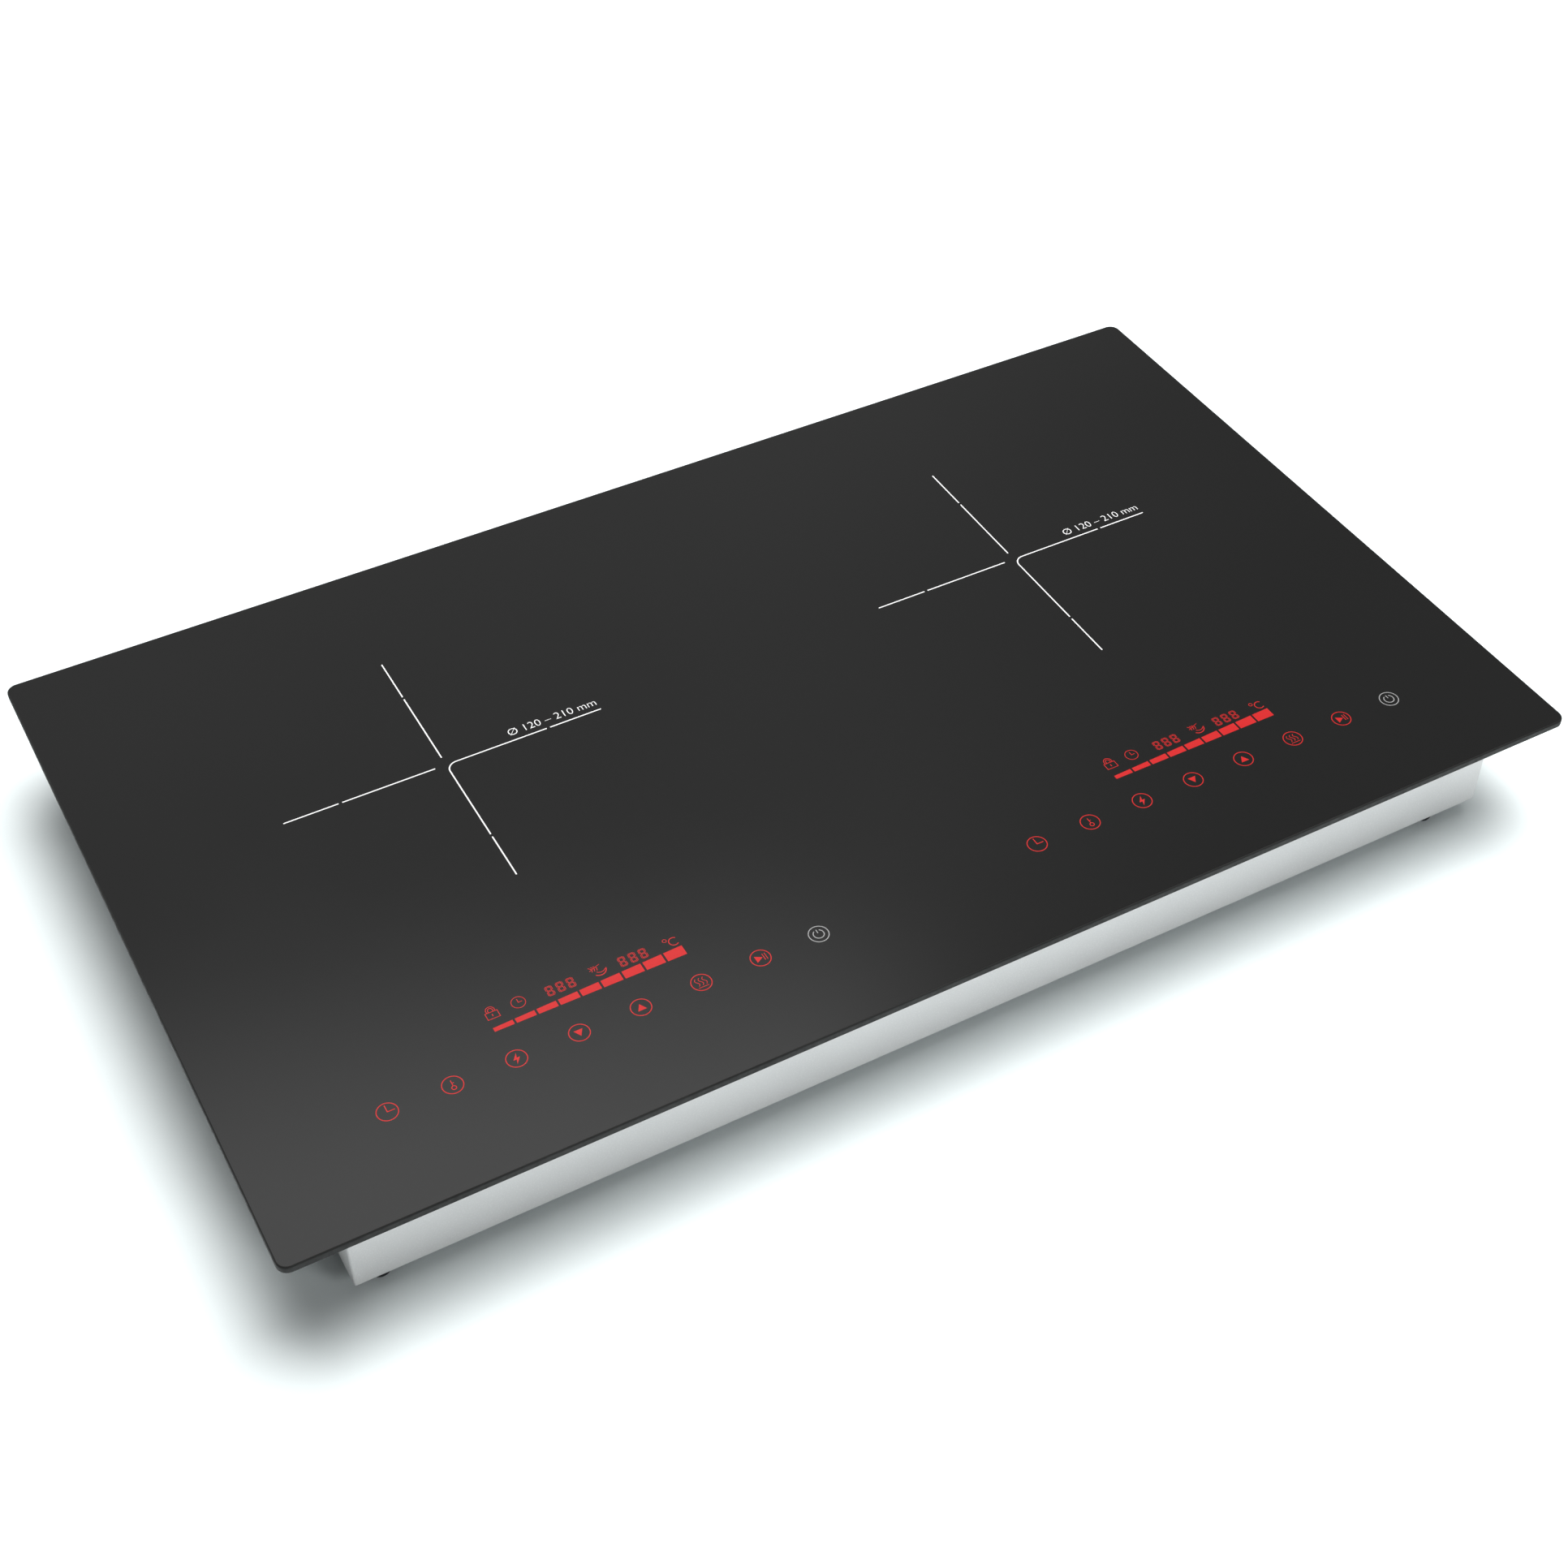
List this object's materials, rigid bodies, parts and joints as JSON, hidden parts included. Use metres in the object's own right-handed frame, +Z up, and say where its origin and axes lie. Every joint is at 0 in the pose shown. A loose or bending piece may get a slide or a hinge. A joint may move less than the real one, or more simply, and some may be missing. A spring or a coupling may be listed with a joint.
{
  "type": "induction cooktop",
  "caption": "Portable electric induction hob: a flat dark glass plate overhanging a shallow pale steel casing on rubber feet, with touch controls along the front of each zone.",
  "frame": {"origin": "on the surface that the feet stand on, under the middle of the glass plate", "axes": "+X to the right along the long side, +Y towards the rear, +Z up; the controls are at the front, -Y"},
  "size_m": [0.73, 0.43, 0.066],
  "materials": {
    "black_glass": "polished black glass-ceramic with printed legends",
    "casing_paint": "satin pale silver powder coat",
    "rubber": "matt moulded",
    "silicone": "cured bead",
    "aluminium": "mill finish",
    "steel": "zinc plated",
    "nylon": "fine moulded grain",
    "pale_resin": "glass-filled resin",
    "copper": "enamelled winding wire",
    "mica": "pressed mica sheet",
    "circuit_board": "solder mask",
    "epoxy": "moulded package",
    "capacitor_film": "dipped case",
    "ferrite": "lacquered core",
    "display": "tinted display window"
  },
  "bodies": {
    "cooktop": {"bridge_rectifier_left": "epoxy", "bridge_rectifier_right": "epoxy", "cable_gland": "nylon", "carrier_spring_left_1": "steel", "carrier_spring_left_2": "steel", "carrier_spring_left_3": "steel", "carrier_spring_right_1": "steel", "carrier_spring_right_2": "steel", "carrier_spring_right_3": "steel", "casing_screw_left_1": "steel", "casing_screw_left_2": "steel", "casing_screw_rear_1": "steel", "casing_screw_rear_2": "steel", "casing_screw_right_1": "steel", "casing_screw_right_2": "steel", "coil_carrier_left": "pale_resin", "coil_carrier_right": "pale_resin", "coil_winding_left": "copper", "coil_winding_right": "copper", "fan_frame_left": "nylon", "fan_frame_right": "nylon", "fan_stator_left": "copper", "fan_stator_right": "copper", "filter_choke_left": "ferrite", "filter_choke_right": "ferrite", "foot_front_left": "rubber", "foot_front_right": "rubber", "foot_rear_left": "rubber", "foot_rear_right": "rubber", "gland_nut": "nylon", "glass_panel": "black_glass", "glass_rail_front": "aluminium", "glass_rail_left": "aluminium", "glass_rail_rear": "aluminium", "glass_rail_right": "aluminium", "glass_seal": "silicone", "heat_sink_left": "aluminium", "heat_sink_right": "aluminium", "led_display_left": "display", "led_display_right": "display", "lower_casing": "casing_paint", "mains_terminal": "pale_resin", "mica_sheet_left": "mica", "mica_sheet_right": "mica", "panel_tray_left": "nylon", "panel_tray_right": "nylon", "power_board_left": "circuit_board", "power_board_right": "circuit_board", "power_transistor_left": "epoxy", "power_transistor_right": "epoxy", "resonant_capacitor_left": "capacitor_film", "resonant_capacitor_right": "capacitor_film", "temperature_sensor_left": "silicone", "temperature_sensor_right": "silicone", "touch_board_left": "circuit_board", "touch_board_right": "circuit_board"},
    "fan_rotor_left": {"fan_impeller_left": "nylon", "fan_shaft_left": "steel"},
    "fan_rotor_right": {"fan_impeller_right": "nylon", "fan_shaft_right": "steel"}
  },
  "joints": [
    {"name": "fan_left_spin", "type": "hinge", "parent": "cooktop", "child": "fan_rotor_left", "pos_m": [-0.1775, -0.1, 0.0187], "axis": [0, 0, 1], "continuous": true},
    {"name": "fan_right_spin", "type": "hinge", "parent": "cooktop", "child": "fan_rotor_right", "pos_m": [0.1775, -0.1, 0.0187], "axis": [0, 0, 1], "continuous": true}
  ]
}
